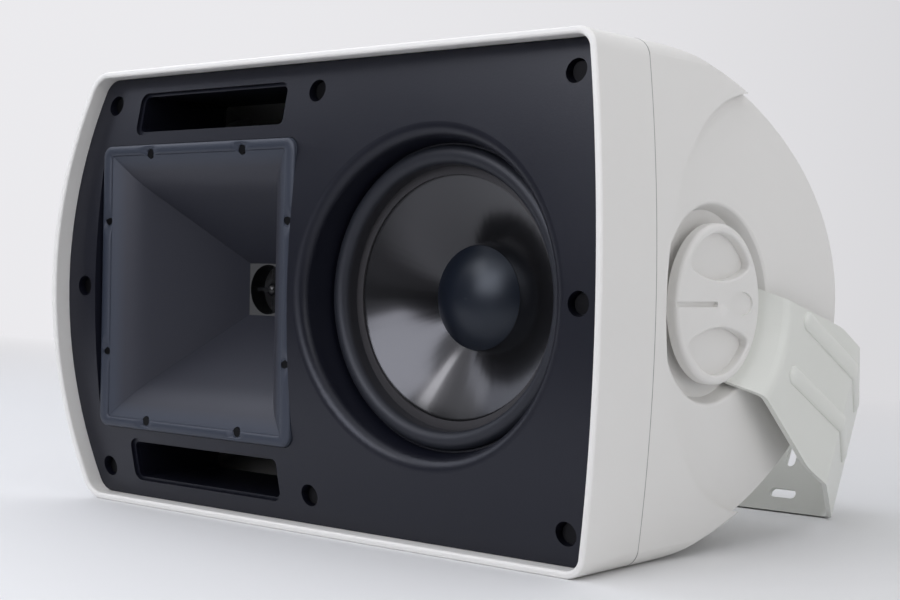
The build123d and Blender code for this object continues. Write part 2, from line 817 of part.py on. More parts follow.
def woofer_rest():
    """Gasket, former, winding, magnet parts and screws of the woofer."""
    y0 = basket_y
    y1 = y0 + top_plate_height
    y2 = y1 + magnet_height
    y3 = y2 + yoke_height
    bore = coil_radius + winding_gauge + magnet_gap
    pole = coil_radius - former_gauge - magnet_gap
    former_y = cone_depth(coil_radius)
    middle = (y0 + y1) / 2
    gasket_bore = woofer_flange_radius - woofer_gasket_width
    gasket = tube(gasket_bore, woofer_flange_radius, well_depth, woofer_y, woofer_x)
    for x, z in woofer_screw_places():
        gasket -= rod(x, z, woofer_screw_radius + thread_play, 0, back_depth)
    seat = woofer_y + woofer_flange
    length = seat - well_depth + woofer_screw_bite - fit
    screws = [pan_screw(x, z, seat, woofer_screw_radius, length, woofer_screw_head, woofer_screw_head_height,
                        facing=-1) for x, z in woofer_screw_places()]
    return {
        "woofer_gasket": gasket,
        "woofer_coil_former": tube(coil_radius - former_gauge, coil_radius, former_y,
                                   former_y + former_length, woofer_x),
        "woofer_winding": tube(coil_radius, coil_radius + winding_gauge, middle - winding_height / 2,
                               middle + winding_height / 2, woofer_x),
        "woofer_top_plate": tube(bore, basket_bottom_radius, y0, y1, woofer_x),
        "woofer_magnet": tube(magnet_bore, magnet_radius, y1, y2, woofer_x),
        "woofer_yoke": rod(woofer_x, 0, pole, y0, y2) + rod(woofer_x, 0, yoke_radius, y2, y3),
        "woofer_screws": group(screws),
    }


def crossover_parts():
    """Board on four standoffs with two coils, two capacitors and its screws."""
    board = prism(Rectangle(board_width, board_height), board_y - board_thickness, board_y)
    for x, z in board_screw_places():
        board -= rod(x, z, board_screw_radius + thread_play, 0, back_depth)
    front = board_y - board_thickness
    ring = Circle(inductor_radius) - Circle(inductor_bore)
    coils = []
    cans = []
    for s in (-1, 1):
        coils.append(prism(Pos(s * inductor_pitch / 2, inductor_z) * ring, front - inductor_height, front))
        spot = Pos(s * capacitor_pitch / 2, front - capacitor_radius, capacitor_z)
        cans.append(spot * Rot(0, 90, 0) * Cylinder(capacitor_radius, capacitor_length))
    screws = [pan_screw(x, z, front, board_screw_radius, board_thickness + board_screw_bite, board_screw_head,
                        board_screw_head_height) for x, z in board_screw_places()]
    return {
        "crossover_board": board,
        "crossover_inductors": group(coils),
        "crossover_capacitors": group(cans),
        "board_screws": group(screws),
    }


def terminal_cap(x):
    """Fluted nut that turns on a binding post, closed at its outer end."""
    start = plate_y + plate_thickness + collar_height + fit
    face = Circle(cap_body_radius)
    for k in range(cap_flutes):
        face -= Rot(0, 0, 360 * k / cap_flutes) * Pos(cap_body_radius, 0) * Circle(cap_flute_radius)
    body = prism(Pos(x, 0) * face, start, start + cap_body_length)
    return body - rod(x, 0, stem_radius + cap_bore_play, start - margin, start + cap_body_length - cap_end)


def terminal_parts():
    """Plate in the pocket with its gasket and screws, and two binding posts with nuts and caps."""
    plate_face = RectangleRounded(plate_width, plate_height, plate_corner)
    plate_back = plate_y + plate_thickness
    plate = prism(plate_face, plate_y, plate_back)
    gasket = prism(plate_face - Rectangle(window_width, window_height), pocket_floor_depth, plate_y)
    for x, z in plate_screw_places():
        hole = rod(x, z, plate_screw_radius + thread_play, pocket_floor_depth - margin, plate_back + margin)
        plate -= hole
        gasket -= hole
    posts = (-binding_pitch / 2, binding_pitch / 2)
    stem_end = plate_back + collar_height + cap_body_length - cap_end - fit
    stems = []
    nuts = []
    for x in posts:
        plate -= rod(x, 0, stem_radius + thread_play, plate_y - margin, plate_back + margin)
        stem = rod(x, 0, stem_radius, plate_y - stem_tail, stem_end)
        stems.append(stem + rod(x, 0, collar_radius, plate_back, plate_back + collar_height))
        hexagon = RegularPolygon(nut_radius, 6) - Circle(stem_radius + thread_play)
        nuts.append(prism(Pos(x, 0) * hexagon, plate_y - nut_height, plate_y))
    length = plate_thickness + plate_gasket + plate_screw_bite
    screws = [pan_screw(x, z, plate_back, plate_screw_radius, length, plate_screw_head,
                        plate_screw_head_height, facing=-1) for x, z in plate_screw_places()]
    return {
        "terminal_plate": plate,
        "terminal_gasket": gasket,
        "terminal_screws": group(screws),
        "terminal_stems": group(stems),
        "terminal_nuts": group(nuts),
        "terminal_cap_red": terminal_cap(posts[1]),
        "terminal_cap_black": terminal_cap(posts[0]),
    }


def bracket_outline():
    """Side view of the bracket pointing straight back: round hub, neck, flared arm, narrower base."""
    past = base_reach + margin
    slope = (base_half_width - arm_half_width) / (base_reach - arm_crease)
    corners = [(0, neck_half_width), (neck_end, neck_half_width), (flare_end, arm_half_width),
               (arm_crease, arm_half_width), (past, base_half_width + slope * margin)]
    upper = FilletPolyline(*corners, radius=flare_round)
    lower = FilletPolyline(*[(s, -w) for s, w in corners], radius=flare_round)
    hub = ThreePointArc((0, neck_half_width), (-neck_half_width, 0), (0, -neck_half_width))
    end = Line(corners[-1], (past, -corners[-1][1]))
    return make_face(upper.edges() + lower.edges() + [hub, end])


def bracket_rib(offset):
    """Round-topped bead pressed out of an arm, running over the crease on to the slanting part."""
    run = hypot(arm_x - base_half_span, base_mid - arm_crease)
    along = ((base_half_span - arm_x) / run, (base_mid - arm_crease) / run)
    turn = atan2(arm_x - base_half_span, base_mid - arm_crease)
    half = sheet / 2
    crease = (arm_x + half, arm_crease + half * tan(turn / 2))
    last = (crease[0] + along[0] * rib_end, crease[1] + along[1] * rib_end)
    path = FilletPolyline((arm_x + half, rib_start), crease, last, radius=bend_radius)
    upright = (0, 0, 1)
    bead = sweep(Plane(path @ 0, upright, path % 0) * Ellipse(rib_width / 2, rib_height), path)
    half_section = make_face([EllipticalCenterArc((0, 0), rib_width / 2, rib_height, -90, arc_size=180),
                              Line((0, rib_height), (0, -rib_height))])
    for place, half_turn in ((0, 180), (1, -180)):
        spot = Plane(path @ place, upright, path % place)
        bead += revolve(spot * half_section, Axis(spot.origin, spot.y_dir), half_turn)
    return Pos(0, 0, offset) * bead


def mounting_bracket():
    """Bent steel bracket: cupped hubs round the knobs, ribbed arms, slanting corners and slotted base."""
    arm_start = (cup_top + flare_end) / 2
    right = [(arm_x, arm_start), (arm_x, arm_crease), (base_half_span, base_mid)]
    left = [(-x, y) for x, y in reversed(right)]
    path = FilletPolyline(*right, *left, radius=bend_radius)
    strip = extrude(trace(path, sheet), amount=arm_half_width + margin, both=True)
    cup_points = [(hub_mid_x, hub_bore), (hub_mid_x, cup_foot), (arm_x, cup_top), (arm_x, flare_end)]
    cup_path = FilletPolyline(*cup_points, radius=bend_radius)
    cup = revolve(trace(cup_path, sheet), Axis.X)
    body = (strip + pair(cup)) & side_prism(bracket_outline(), -arm_x - margin, arm_x + margin)
    body += pair(bracket_rib(rib_upper) + bracket_rib(rib_lower))
    for x, z, length, turned_by in slot_places():
        body -= prism(Pos(x, z) * Rot(0, 0, turned_by) * SlotOverall(length, slot_width), base_mid - margin,
                      base_reach + margin)
    body -= rod(0, 0, base_bore, base_mid - margin, base_reach + margin)
    return Pos(0, pivot_depth, 0) * Rot(-degrees(tilt), 0, 0) * body


def slot_places():
    """Slots in the base: a level one near each corner and an upright one between them."""
    level = [(sx * slot_x, sz * slot_offset, slot_length, 0) for sx in (-1, 1) for sz in (-1, 1)]
    return level + [(sx * slot_x, 0, middle_slot_length, 90) for sx in (-1, 1)]


def finger_pocket(side):
    """End view of a finger pocket: between the knob's rim and the arc of its bar."""
    lens = Circle(finger_radius) & (Pos(0, side * (bar_half_width + bar_arc_radius)) * Circle(bar_arc_radius))
    return fillet(lens.vertices(), finger_corner)


def is_pocket_rim(edge):
    """True for an edge of the knob's finger pockets at its crowned face."""
    middle = edge.center()
    high = middle.X > knob_x + knob_height - knob_round
    return high and hypot(middle.Y, middle.Z) < knob_radius - knob_round


def knob():
    """Crowned clamp knob of the right-hand end with two finger pockets and a pointer line."""
    face = knob_x + knob_height
    edge = knob_radius - knob_round
    bite = knob_round * (1 - cos(pi / 4))
    rise = dome(edge, knob_crown, edge / 2)
    edges = [
        Line((knob_x, 0), (knob_x, knob_radius)),
        Line((knob_x, knob_radius), (face - knob_round, knob_radius)),
        ThreePointArc((face - knob_round, knob_radius), (face - bite, knob_radius - bite), (face, edge)),
        ThreePointArc((face, edge), (face + rise, edge / 2), (face + knob_crown, 0)),
        Line((face + knob_crown, 0), (knob_x, 0)),
    ]
    body = revolve(make_face(edges), Axis.X)
    for side in (-1, 1):
        body -= side_prism(finger_pocket(side), face - finger_depth, face + margin)
    body = fillet(body.edges().filter_by(is_pocket_rim), finger_round)
    length = knob_radius - line_end + line_width
    line = Pos(-line_end - length / 2, 0) * SlotOverall(length, line_width)
    body -= side_prism(line, face - line_depth, face + margin)
    oval = Pos(oval_centre, 0) * Ellipse(oval_length / 2, oval_width / 2)
    body -= side_prism(oval, face - oval_depth, face + margin)
    grip = stud_grip + thread_play
    body -= Pos(knob_x, 0, 0) * Rot(0, 90, 0) * Cylinder(stud_radius + thread_play, 2 * grip)
    return Pos(0, pivot_depth, 0) * body


def knob_stud():
    """Threaded stud moulded into the right-hand knob."""
    start = dish_x - stud_reach
    end = knob_x + stud_grip
    return spun([(start, 0), (start, stud_radius), (end, stud_radius), (end, 0)])


def pivot_parts():
    """Knobs, studs, threaded inserts and washers on the bracket's axis."""
    deep = dish_x - insert_length
    bore = stud_radius + thread_play
    top = dish_x + washer_thickness
    insert = spun([(deep, bore), (deep, insert_radius), (dish_x, insert_radius), (dish_x, bore)])
    washer = spun([(dish_x, hub_bore), (dish_x, washer_radius), (top, washer_radius), (top, hub_bore)])
    right_knob = knob()
    right_stud = knob_stud()
    return {
        "knob_right": right_knob,
        "knob_left": mirror(right_knob, Plane.YZ),
        "knob_stud_right": right_stud,
        "knob_stud_left": mirror(right_stud, Plane.YZ),
        "knob_inserts": group([insert, mirror(insert, Plane.YZ)]),
        "pivot_washers": group([washer, mirror(washer, Plane.YZ)]),
    }


def all_pieces():
    """Every piece by name, in the working frame."""
    nodes = {
        "front_bezel": front_bezel(),
        "front_baffle": front_baffle(),
        "baffle_gasket": baffle_gasket(),
        "baffle_screws": baffle_screws(),
        "rear_cabinet": rear_cabinet(),
        "horn": horn(),
        "horn_screws": horn_screws(),
        "phase_plug": phase_plug(),
        "port_duct_upper": port_duct(1),
        "port_duct_lower": port_duct(-1),
        "woofer_frame": woofer_frame(),
        "woofer_surround": woofer_surround(),
        "woofer_cone": woofer_cone(),
        "woofer_dust_cap": woofer_dust_cap(),
        "woofer_spider": woofer_spider(),
        "mounting_bracket": mounting_bracket(),
    }
    nodes.update(driver_parts())
    nodes.update(woofer_rest())
    nodes.update(crossover_parts())
    nodes.update(terminal_parts())
    nodes.update(pivot_parts())
    return nodes


def main():
    """Build every piece, move it on to the floor and write it out."""
    stand = Pos(0, (rim_step - rear_reach) / 2, half_height)
    os.makedirs("parts", exist_ok=True)
    for name, piece in all_pieces().items():
        export_step(stand * piece, f"parts/{name}.step")


main()
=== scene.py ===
import bpy
import numpy as np
from mathutils import Euler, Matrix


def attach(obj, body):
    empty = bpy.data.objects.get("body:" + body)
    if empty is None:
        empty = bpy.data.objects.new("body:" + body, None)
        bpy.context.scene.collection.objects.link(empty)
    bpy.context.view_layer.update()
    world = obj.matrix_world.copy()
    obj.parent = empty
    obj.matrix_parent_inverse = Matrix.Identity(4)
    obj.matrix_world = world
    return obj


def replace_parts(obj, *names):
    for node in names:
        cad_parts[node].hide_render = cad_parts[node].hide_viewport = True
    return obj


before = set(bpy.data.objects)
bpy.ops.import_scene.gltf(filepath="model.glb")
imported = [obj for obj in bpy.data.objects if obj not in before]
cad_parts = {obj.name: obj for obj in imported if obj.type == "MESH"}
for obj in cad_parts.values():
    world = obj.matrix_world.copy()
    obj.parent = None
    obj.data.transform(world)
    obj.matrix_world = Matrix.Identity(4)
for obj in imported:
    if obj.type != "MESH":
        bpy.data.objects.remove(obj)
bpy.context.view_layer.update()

bl_info = {
    "name": "Patio speaker looks",
    "version": (1, 0, 0),
    "blender": (4, 5, 0),
    "location": "View3D > Sidebar > Speaker",
    "description": "Materials, fine pieces and stage of an outdoor patio speaker",
    "category": "Object",
}

# Places on the object, in metres
MIDDLE_Z = 0.113
SEAM_Y = -0.09915
FRONT_RADIUS = 0.43879
WOOFER = (0.0742, MIDDLE_Z)
CONE_Y = -0.104748
CONE_RADIUS = 0.0554
CONE_SEAT = 0.004
CONE_GAUGE = 0.0012
CONE_SLOPES = (0.42, 0.64)
CAP_RADIUS = 0.024
COIL_RADIUS = 0.0163
HORN = (-0.079, MIDDLE_Z)
FLANGE_Y = -0.12565
THROAT_Y = -0.07365
FLANGE_SIZE = (0.143, 0.147)
MOUTH_SIZE = (0.1285, 0.136)
HORN_SCREWS = [(side * 0.03425, edge * 0.06875) for side in (-1, 1) for edge in (-1, 1)]
HORN_SCREWS += [(edge * 0.06675, side * 0.03425) for side in (-1, 1) for edge in (-1, 1)]
BEAD_INSET = 0.0002
BEAD_CORNERS = (0.0058, 0.0012)
BEAD_RISE = 0.0013
BEAD_BACK = 0.0008
DIP_RADIUS = 0.0027
DIP_RAMP = 0.0016
DIP_DEPTH = 0.0006
SEAM_SHADE_WIDTHS = (0.00035, 0.0002)
SEAT_RING = (0.0598, 0.0590)

# Colours of small parts of a finish; the throat's colour is painted shade
PLATE_COLOR = (0.07, 0.07, 0.07)
THROAT_SHADE_COLOR = (0.003, 0.003, 0.003)
PLUG_COLOR = (0.008, 0.008, 0.009)
CAP_COLOR = (0.006, 0.0085, 0.0155)
SEAT_COLOR = (0.036, 0.034, 0.036)
SCREW_COLOR = (0.02, 0.02, 0.022)

# Plastics of the inner parts: name, colour, roughness, size and depth of the grain in metres, nodes
WOOFER_PLASTICS = (
    ("frame_black", (0.02, 0.02, 0.02), 0.4, 0.001, 0.00004, ("woofer_frame",)),
    ("ferrite", (0.04, 0.04, 0.042), 0.75, 0.0005, 0.0001, ("woofer_magnet", "driver_magnet")),
    ("cloth", (0.5, 0.34, 0.14), 0.9, 0.0007, 0.0002, ("woofer_spider",)),
    ("former", (0.4, 0.25, 0.1), 0.5, 0.0007, 0.00003, ("woofer_coil_former",)),
)
BRACKET_PLASTICS = (
    ("washer", (0.05, 0.05, 0.05), 0.5, 0.0007, 0.00003, ("pivot_washers",)),
)
TERMINAL_PLASTICS = (
    ("board", (0.03, 0.16, 0.06), 0.4, 0.001, 0.00003, ("crossover_board",)),
    ("can", (0.02, 0.03, 0.12), 0.3, 0.001, 0.00002, ("crossover_capacitors",)),
    ("cap_red", (0.42, 0.015, 0.015), 0.3, 0.001, 0.00002, ("terminal_cap_red",)),
)

# Metals of the inner parts: name, colour, roughness, nodes
WOOFER_METALS = (
    ("steel", (0.55, 0.55, 0.56), 0.35, (
        "woofer_top_plate", "woofer_yoke", "woofer_screws", "driver_front_plate", "driver_pole",
        "driver_back_plate", "board_screws", "terminal_screws", "knob_stud_right", "knob_stud_left")),
    ("copper", (0.75, 0.36, 0.2), 0.3, ("woofer_winding", "crossover_inductors")),
    ("film", (0.25, 0.25, 0.26), 0.35, ("driver_diaphragm",)),
)
BRACKET_METALS = (
    ("brass", (0.78, 0.6, 0.28), 0.3, ("knob_inserts", "terminal_stems", "terminal_nuts")),
)

# Stage, in metres and degrees; the bands are where a value goes from 0 to 1
FLOOR_REACH = 2.2
COVE_RADIUS = 1.6
WALL_TOP = 8.0
FAR_BAND = (0.2, 0.9)
SIDE_BAND = (1.6, 2.4)
FRONT_SHADE_BAND = (-0.32, -0.52)
BEHIND_BAND = (-0.3, 0.3)
# Painted shade on the glowing wall: its tone drops from left towards the back
GLOW_SHADE_ARC = (59.0, 20.0)
GLOW_SHADE_DROP = 0.84
# Painted shade of the floor far out in front
FRONT_SHADE_COLOR = (0.10, 0.10, 0.102)
AIM = (0.07, -0.11, 0.11)
CEILING = ((-0.5, -0.2, 1.8), (-0.5, -0.199, 0.0), (5.0, 4.0), (0.98, 0.99, 1.02))
# Softboxes: name, azimuth right of the front, elevation, reach, size, colour
SOFTBOXES = (
    ("key", -3, 23, 1.2, (0.76, 0.69), (0.97, 0.985, 1.05)),
    ("strip", -30, 38, 1.2, (0.1, 0.34), (1.0, 1.0, 1.0)),
    ("left", -82, 33, 1.5, (1.1, 1.45), (0.93, 0.97, 1.09)),
    ("right", 84, 20, 1.8, (1.6, 1.1), (1.0, 1.0, 1.0)),
)


class SpeakerLooks(bpy.types.PropertyGroup):
    """Colours and grain of the finishes."""

    case_color: bpy.props.FloatVectorProperty(
        name="Case", description="Moulded bezel and cabinet", subtype="COLOR", size=3, min=0, max=1,
        default=(0.80, 0.787, 0.765))
    knob_color: bpy.props.FloatVectorProperty(
        name="Knob", description="Clamp knobs", subtype="COLOR", size=3, min=0, max=1,
        default=(0.79, 0.777, 0.755))
    bracket_color: bpy.props.FloatVectorProperty(
        name="Bracket", description="Powder coat of the bracket", subtype="COLOR", size=3, min=0, max=1,
        default=(0.76, 0.768, 0.725))
    baffle_color: bpy.props.FloatVectorProperty(
        name="Baffle", description="Satin black front", subtype="COLOR", size=3, min=0, max=1,
        default=(0.0045, 0.005, 0.010))
    horn_color: bpy.props.FloatVectorProperty(
        name="Horn", description="Moulded horn", subtype="COLOR", size=3, min=0, max=1,
        default=(0.020, 0.021, 0.030))
    # Painted sheen: a blue-grey tint on the flange stands in for its gloss
    flange_sheen_color: bpy.props.FloatVectorProperty(
        name="Flange", description="Blue-grey sheen of the horn's flange",
        subtype="COLOR", size=3, min=0, max=1,
        default=(0.026, 0.032, 0.048))
    cone_color: bpy.props.FloatVectorProperty(
        name="Cone", description="Woofer cone", subtype="COLOR", size=3, min=0, max=1,
        default=(0.0045, 0.0045, 0.005))
    rubber_color: bpy.props.FloatVectorProperty(
        name="Rubber", description="Surround and gaskets", subtype="COLOR", size=3, min=0, max=1,
        default=(0.012, 0.0135, 0.019))
    case_grain: bpy.props.FloatProperty(
        name="Case grain", description="Size of the moulded texture's grains", unit="LENGTH", default=0.0007)
    coat_grain: bpy.props.FloatProperty(
        name="Coat grain", description="Size of the powder coat's orange peel", unit="LENGTH", default=0.0016)


class SpeakerStage(bpy.types.PropertyGroup):
    """Camera, lamps and floor."""

    camera_place: bpy.props.FloatVectorProperty(
        name="Camera", description="Place of the camera", subtype="TRANSLATION", unit="LENGTH", size=3,
        default=(0.52581, -0.65193, 0.12579))
    camera_turn: bpy.props.FloatVectorProperty(
        name="Camera turn", description="Angles of the camera", subtype="EULER", unit="ROTATION", size=3,
        default=(1.551345, -0.021526, 0.693559))
    lens: bpy.props.FloatProperty(
        name="Lens", description="Focal length on a 36 mm sensor", subtype="DISTANCE_CAMERA", default=63.296)
    ceiling: bpy.props.FloatProperty(
        name="Ceiling", description="Radiance of the wide overhead lamp", default=0.88)
    key: bpy.props.FloatProperty(
        name="Key", description="Radiance of the softbox in front", default=4.2)
    strip: bpy.props.FloatProperty(
        name="Strip", description="Radiance of the narrow lamp beside the key", default=9.0)
    left: bpy.props.FloatProperty(
        name="Left", description="Radiance of the softbox on the left", default=1.25)
    right: bpy.props.FloatProperty(
        name="Right", description="Radiance of the softbox on the right", default=1.5)
    sky: bpy.props.FloatProperty(name="Sky", description="Strength of the even light", default=0.15)
    floor_color: bpy.props.FloatVectorProperty(
        name="Floor", description="Paper floor and backdrop", subtype="COLOR", size=3, min=0, max=1,
        default=(0.74, 0.74, 0.745))
    wall_glow: bpy.props.FloatVectorProperty(
        name="Wall", description="Even tone of the far backdrop", subtype="COLOR", size=3, min=0, max=1,
        default=(0.83, 0.825, 0.85))


class Wire:
    """A socket that takes part in Python expressions; each operator adds its Math nodes."""

    def __init__(self, paint, socket):
        self.paint = paint
        self.socket = socket

    def math(self, operation, *others):
        node = self.paint.node("ShaderNodeMath", {"operation": operation})
        for at, value in enumerate((self, *others)):
            self.paint.feed(node.inputs[at], value)
        return Wire(self.paint, node.outputs[0])

    def __add__(self, other):
        return self.math("ADD", other)

    __radd__ = __add__

    def __mul__(self, other):
        return self.math("MULTIPLY", other)

    __rmul__ = __mul__

    def __sub__(self, other):
        return self.math("SUBTRACT", other)

    def __rsub__(self, other):
        return (self * -1.0) + other

    def __truediv__(self, other):
        return self.math("DIVIDE", other)

    def __pow__(self, other):
        return self.math("POWER", other)

    def clamp(self):
        return self.math("MAXIMUM", 0.0).math("MINIMUM", 1.0)


class Paint:
    """A new material with its Principled shader, and the calls that add nodes to it."""

    def __init__(self, name, color, roughness, metallic=0.0):
        self.material = bpy.data.materials.new(name)
        self.material.use_nodes = True
        self.tree = self.material.node_tree
        self.tree.nodes.clear()
        self.color = (*color, 1.0)
        self.shader = self.node("ShaderNodeBsdfPrincipled")
        self.set("Base Color", self.color)
        self.set("Roughness", roughness)
        self.set("Metallic", metallic)
        self.output = self.node("ShaderNodeOutputMaterial")
        self.feed(self.output.inputs["Surface"], self.shader.outputs[0])
        self.place = self.node("ShaderNodeTexCoord").outputs["Object"]

    def node(self, kind, settings=None, **values):
        """A node of a kind: its settings first, then the values or links of its sockets."""
        node = self.tree.nodes.new(kind)
        for key, value in (settings or {}).items():
            setattr(node, key, value)
        for key, value in values.items():
            self.feed(node.inputs[key.replace("_", " ")], value)
        return node

    def feed(self, socket, value):
        if isinstance(value, Wire):
            self.tree.links.new(value.socket, socket)
        elif isinstance(value, bpy.types.NodeSocket):
            self.tree.links.new(value, socket)
        else:
            socket.default_value = value

    def set(self, name, value):
        self.feed(self.shader.inputs[name], value)

    def noise(self, size, detail):
        """Noise from 0 to 1 whose blobs have a size in metres."""
        node = self.node("ShaderNodeTexNoise", {}, Vector=self.place, Scale=0.5 / size, Detail=detail)
        return Wire(self, node.outputs["Fac"])

    def axis(self, name):
        """One coordinate of the object, in metres."""
        node = self.node("ShaderNodeSeparateXYZ", {}, Vector=self.place)
        return Wire(self, node.outputs[name])

    def blend(self, factor, first, second):
        """A colour between two others by a factor."""
        node = self.node("ShaderNodeMix", {"data_type": "RGBA"})
        for at, value in ((0, factor), (6, first), (7, second)):
            self.feed(node.inputs[at], value)
        return node.outputs[2]

    def tint(self, factor, color):
        """Mix the base colour towards another by a factor, on top of earlier mixes."""
        self.color = self.blend(factor, self.color, (*color, 1.0))
        self.set("Base Color", self.color)

    def between(self, value, start, end):
        """0 to 1 as a wire goes from a start to an end, and level beyond them."""
        return ((value - start) * (1.0 / (end - start))).clamp()

    def ring(self, centre):
        """Distance from a line along the depth through a place (x, z), in metres."""
        return ((self.axis("X") - centre[0]) ** 2.0 + (self.axis("Z") - centre[1]) ** 2.0) ** 0.5

    def bump(self, height, distance):
        """Raise the surface by a height of 0 to 1 times a distance in metres."""
        node = self.node("ShaderNodeBump", {}, Height=height, Distance=distance, Strength=1.0)
        self.set("Normal", node.outputs[0])


def moulded(name, color, roughness, grain, depth, shift=0.05, speckle=0.06):
    """Moulded plastic: fine grain in bump and roughness, faint clouding of the colour."""
    paint = Paint(name, color, roughness)
    fine = paint.noise(grain, 3.0)
    cloud = paint.noise(0.045, 3.0)
    paint.set("Roughness", (fine - 0.5) * shift + (cloud - 0.5) * shift + roughness)
    paint.tint((cloud * speckle).clamp(), tuple(0.8 * c for c in color))
    paint.bump(fine, depth)
    return paint


def metal(name, color, roughness, grain=0.0004):
    """Plated metal with fine blotches in its gloss."""
    paint = Paint(name, color, roughness, 1.0)
    fine = paint.noise(grain, 4.0)
    paint.set("Roughness", (fine - 0.5) * 0.2 + roughness)
    paint.tint(fine * 0.25, tuple(0.7 * c for c in color))
    paint.bump(fine, 0.00002)
    return paint


def seam_shade(paint):
    """1 on the hairline where bezel and cabinet meet, along the bow of the front: where the painted shade of
    the gap goes.
    """
    height = paint.axis("Z") - MIDDLE_Z
    bow = FRONT_RADIUS - (FRONT_RADIUS ** 2 - height * height) ** 0.5
    off = (paint.axis("Y") - SEAM_Y - bow).math("ABSOLUTE")
    return paint.between(off, *SEAM_SHADE_WIDTHS)


def streaks(paint, centre, count):
    """Noise from 0 to 1 that changes only with the direction from a line along the depth."""
    reach = paint.ring(centre)
    way = paint.node("ShaderNodeCombineXYZ", {}, X=(paint.axis("X") - centre[0]) / reach,
                     Y=(paint.axis("Z") - centre[1]) / reach)
    node = paint.node("ShaderNodeTexNoise", {}, Vector=way.outputs[0], Scale=count, Detail=2.0)
    return Wire(paint, node.outputs["Fac"])


def dress(paint, *names):
    """Give a material to CAD nodes."""
    for name in names:
        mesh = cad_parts[name].data
        mesh.materials.clear()
        mesh.materials.append(paint.material)


def dress_plastics(rows):
    """Give each row's plastic to its CAD nodes."""
    for name, color, roughness, grain, depth, nodes in rows:
        dress(moulded(name, color, roughness, grain, depth), *nodes)


def dress_metals(rows):
    """Give each row's metal to its CAD nodes."""
    for name, color, roughness, nodes in rows:
        dress(metal(name, color, roughness), *nodes)


def add_piece(name, body, verts, faces, paint, slot):
    """A new mesh piece at the origin that rides on a body."""
    mesh = bpy.data.meshes.new(name)
    mesh.from_pydata(verts.tolist(), [], faces.tolist())
    mesh.shade_smooth()
    mesh.set_sharp_from_angle(angle=np.radians(35))
    mesh.materials.append(paint.material)
    piece = bpy.data.objects.new(name, mesh)
    bpy.context.scene.collection.objects.link(piece)
    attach(piece, body)
    return piece


def wrap_faces(rows, columns):
    """Four-cornered faces of a grid of points that closes on itself both ways."""
    start = np.arange(rows)[:, None] * columns
    following = np.roll(start, -1, 0)
    at = np.arange(columns)
    after = np.roll(at, -1)
    faces = np.stack([start + at, following + at, following + after, start + after], -1)
    return faces.reshape(-1, 4)


def rounded_rectangle(size, corner, per_corner=10, per_side=40):
    """Points (x, z) round a rectangle with round corners, the same count for every size."""
    half = np.array(size) / 2 - corner
    turn = np.linspace(0.0, np.pi / 2, per_corner)
    loop = []
    for quarter in range(4):
        centre = half * ((1, 1), (-1, 1), (-1, -1), (1, -1))[quarter]
        following = half * ((-1, 1), (-1, -1), (1, -1), (1, 1))[quarter]
        angle = turn + quarter * np.pi / 2
        arc = centre + corner * np.stack([np.cos(angle), np.sin(angle)], -1)
        after = following + corner * np.array([np.cos(angle[-1]), np.sin(angle[-1])])
        step = np.linspace(0.0, 1.0, per_side + 2)[1:-1, None]
        loop += [arc, arc[-1] + (after - arc[-1]) * step]
    return np.concatenate(loop)


def bead_surface():
    """Rounded rim on the horn's flange: straight lines from its outer edge to the mouth, raised by a half
    ellipse across, with a dip round each of the eight screws, and a flat back inside the flange."""
    outer = rounded_rectangle(np.array(FLANGE_SIZE) - 2 * BEAD_INSET, BEAD_CORNERS[0])
    inner = rounded_rectangle(np.array(MOUTH_SIZE) + BEAD_INSET, BEAD_CORNERS[1])
    across = (1.0 - np.cos(np.linspace(0.0, np.pi, 17))) / 2
    flat = outer[:, None] + (inner - outer)[:, None] * across[:, None]
    rise = BEAD_RISE * np.sqrt(1.0 - (2.0 * across - 1.0) ** 2) * np.ones(len(outer))[:, None]
    for screw in HORN_SCREWS:
        gap = np.hypot(*np.moveaxis(flat - screw, -1, 0))
        whole = np.clip((gap - DIP_RADIUS) / DIP_RAMP, 0.0, 1.0)
        rise = rise * whole - DIP_DEPTH * (1.0 - whole)
    x, z = np.moveaxis(flat, -1, 0)
    front = np.stack([HORN[0] + x, FLANGE_Y - rise, HORN[1] + z], -1)
    back = front[:, [-1, 0]] + np.array([0.0, BEAD_BACK, 0.0])
    grid = np.concatenate([front, back], 1)
    return grid.reshape(-1, 3), wrap_faces(*grid.shape[:2])


def cone_surface():
    """Cone turned about the woofer's axis, with its front, its back at an even gauge and a flat rim.

    The slope of the front rises evenly from the rim to the cap, so its depth is a first share of the way
    in plus a second share of that way squared.
    """
    way = np.linspace(0.0, CONE_RADIUS - CAP_RADIUS, 28)
    slope = CONE_SLOPES[0] + (CONE_SLOPES[1] - CONE_SLOPES[0]) * way / (2 * way[-1])
    radius = np.concatenate(([CONE_RADIUS + CONE_SEAT], CONE_RADIUS - way, [COIL_RADIUS]))
    neck = way[-1] * slope[-1] + (CAP_RADIUS - COIL_RADIUS) * CONE_SLOPES[1]
    depth = np.concatenate(([0.0], way * slope, [neck]))
    radius = np.concatenate((radius, radius[::-1]))
    depth = CONE_Y + np.concatenate((depth, depth[::-1] + CONE_GAUGE))
    turn = np.linspace(0.0, 2 * np.pi, 192, endpoint=False)[:, None]
    x = WOOFER[0] + radius * np.cos(turn)
    z = WOOFER[1] + radius * np.sin(turn)
    grid = np.stack([x, np.broadcast_to(depth, x.shape), z], -1)
    return grid.reshape(-1, 3), wrap_faces(*x.shape)


class SPEAKER_OT_case(bpy.types.Operator):
    """Finish the white case: bezel, cabinet and knobs"""

    bl_idname = "speaker.case"
    bl_label = "Case"

    def execute(self, context):
        looks = context.scene.speaker_looks
        case = moulded("case_white", looks.case_color, 0.42, looks.case_grain, 0.00003)
        # Painted shade of the gap along the seam between bezel and cabinet
        case.tint(seam_shade(case), tuple(0.4 * c for c in looks.case_color))
        dress(case, "front_bezel", "rear_cabinet")
        knob = moulded("knob_white", looks.knob_color, 0.45, looks.case_grain, 0.00003)
        dress(knob, "knob_right", "knob_left")
        return {"FINISHED"}


